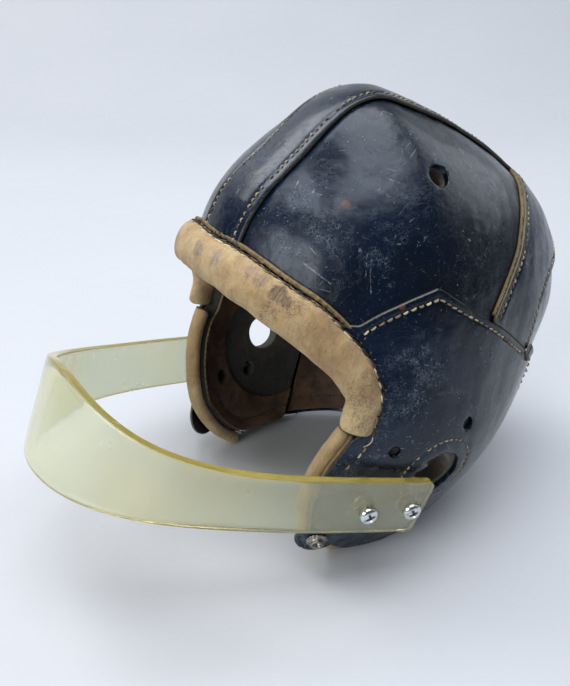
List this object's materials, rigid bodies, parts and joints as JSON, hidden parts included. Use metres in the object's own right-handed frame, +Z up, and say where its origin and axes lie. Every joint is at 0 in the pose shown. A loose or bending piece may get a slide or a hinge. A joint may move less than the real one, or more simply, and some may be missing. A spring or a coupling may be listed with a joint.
{
  "type": "leather football helmet",
  "caption": "Worn leather football helmet with a tan padded brow roll, ear flaps, padded lining and a clear plastic face bar, resting on its flaps and neck edge.",
  "frame": {"origin": "centre of the box on the floor plane that the helmet rests on", "axes": "+Z up, the wearer faces -Y, the wearer's left is +X"},
  "size_m": [0.2208, 0.347, 0.2509],
  "materials": {
    "leather_black": "worn, glazed dark navy leather",
    "leather_tan": "matt tan leather, stained",
    "leather_brown": "dry brown lining leather",
    "felt_dark": "dark felt padding",
    "felt_brown": "brown felt padding",
    "bar_clear": "clear plastic, aged pale yellow-green",
    "steel": "bright plated screws",
    "steel_dark": "tarnished snap hardware",
    "brass": "dull brass"
  },
  "bodies": {
    "root": {"brow_roll": "leather_tan", "centre_strip": "leather_black", "face_bar": "bar_clear", "crown_lining": "felt_brown", "neck_lining": "leather_brown", "side_panel_left": "leather_black", "back_panel_left": "leather_black", "rear_quarter_left": "leather_black", "ear_flap_left": "leather_black", "ear_pad_left": "felt_dark", "ear_lining_left": "leather_brown", "edge_roll_left": "leather_tan", "snap_tab_left": "leather_black", "snap_left": "steel_dark", "screw_front_left": "steel", "spacer_front_left": "brass", "nut_front_left": "brass", "screw_rear_left": "steel", "spacer_rear_left": "brass", "nut_rear_left": "brass", "side_panel_right": "leather_black", "back_panel_right": "leather_black", "rear_quarter_right": "leather_black", "ear_flap_right": "leather_black", "ear_pad_right": "felt_dark", "ear_lining_right": "leather_brown", "edge_roll_right": "leather_tan", "snap_tab_right": "leather_black", "snap_right": "steel_dark", "screw_front_right": "steel", "spacer_front_right": "brass", "nut_front_right": "brass", "screw_rear_right": "steel", "spacer_rear_right": "brass", "nut_rear_right": "brass"}
  },
  "joints": []
}
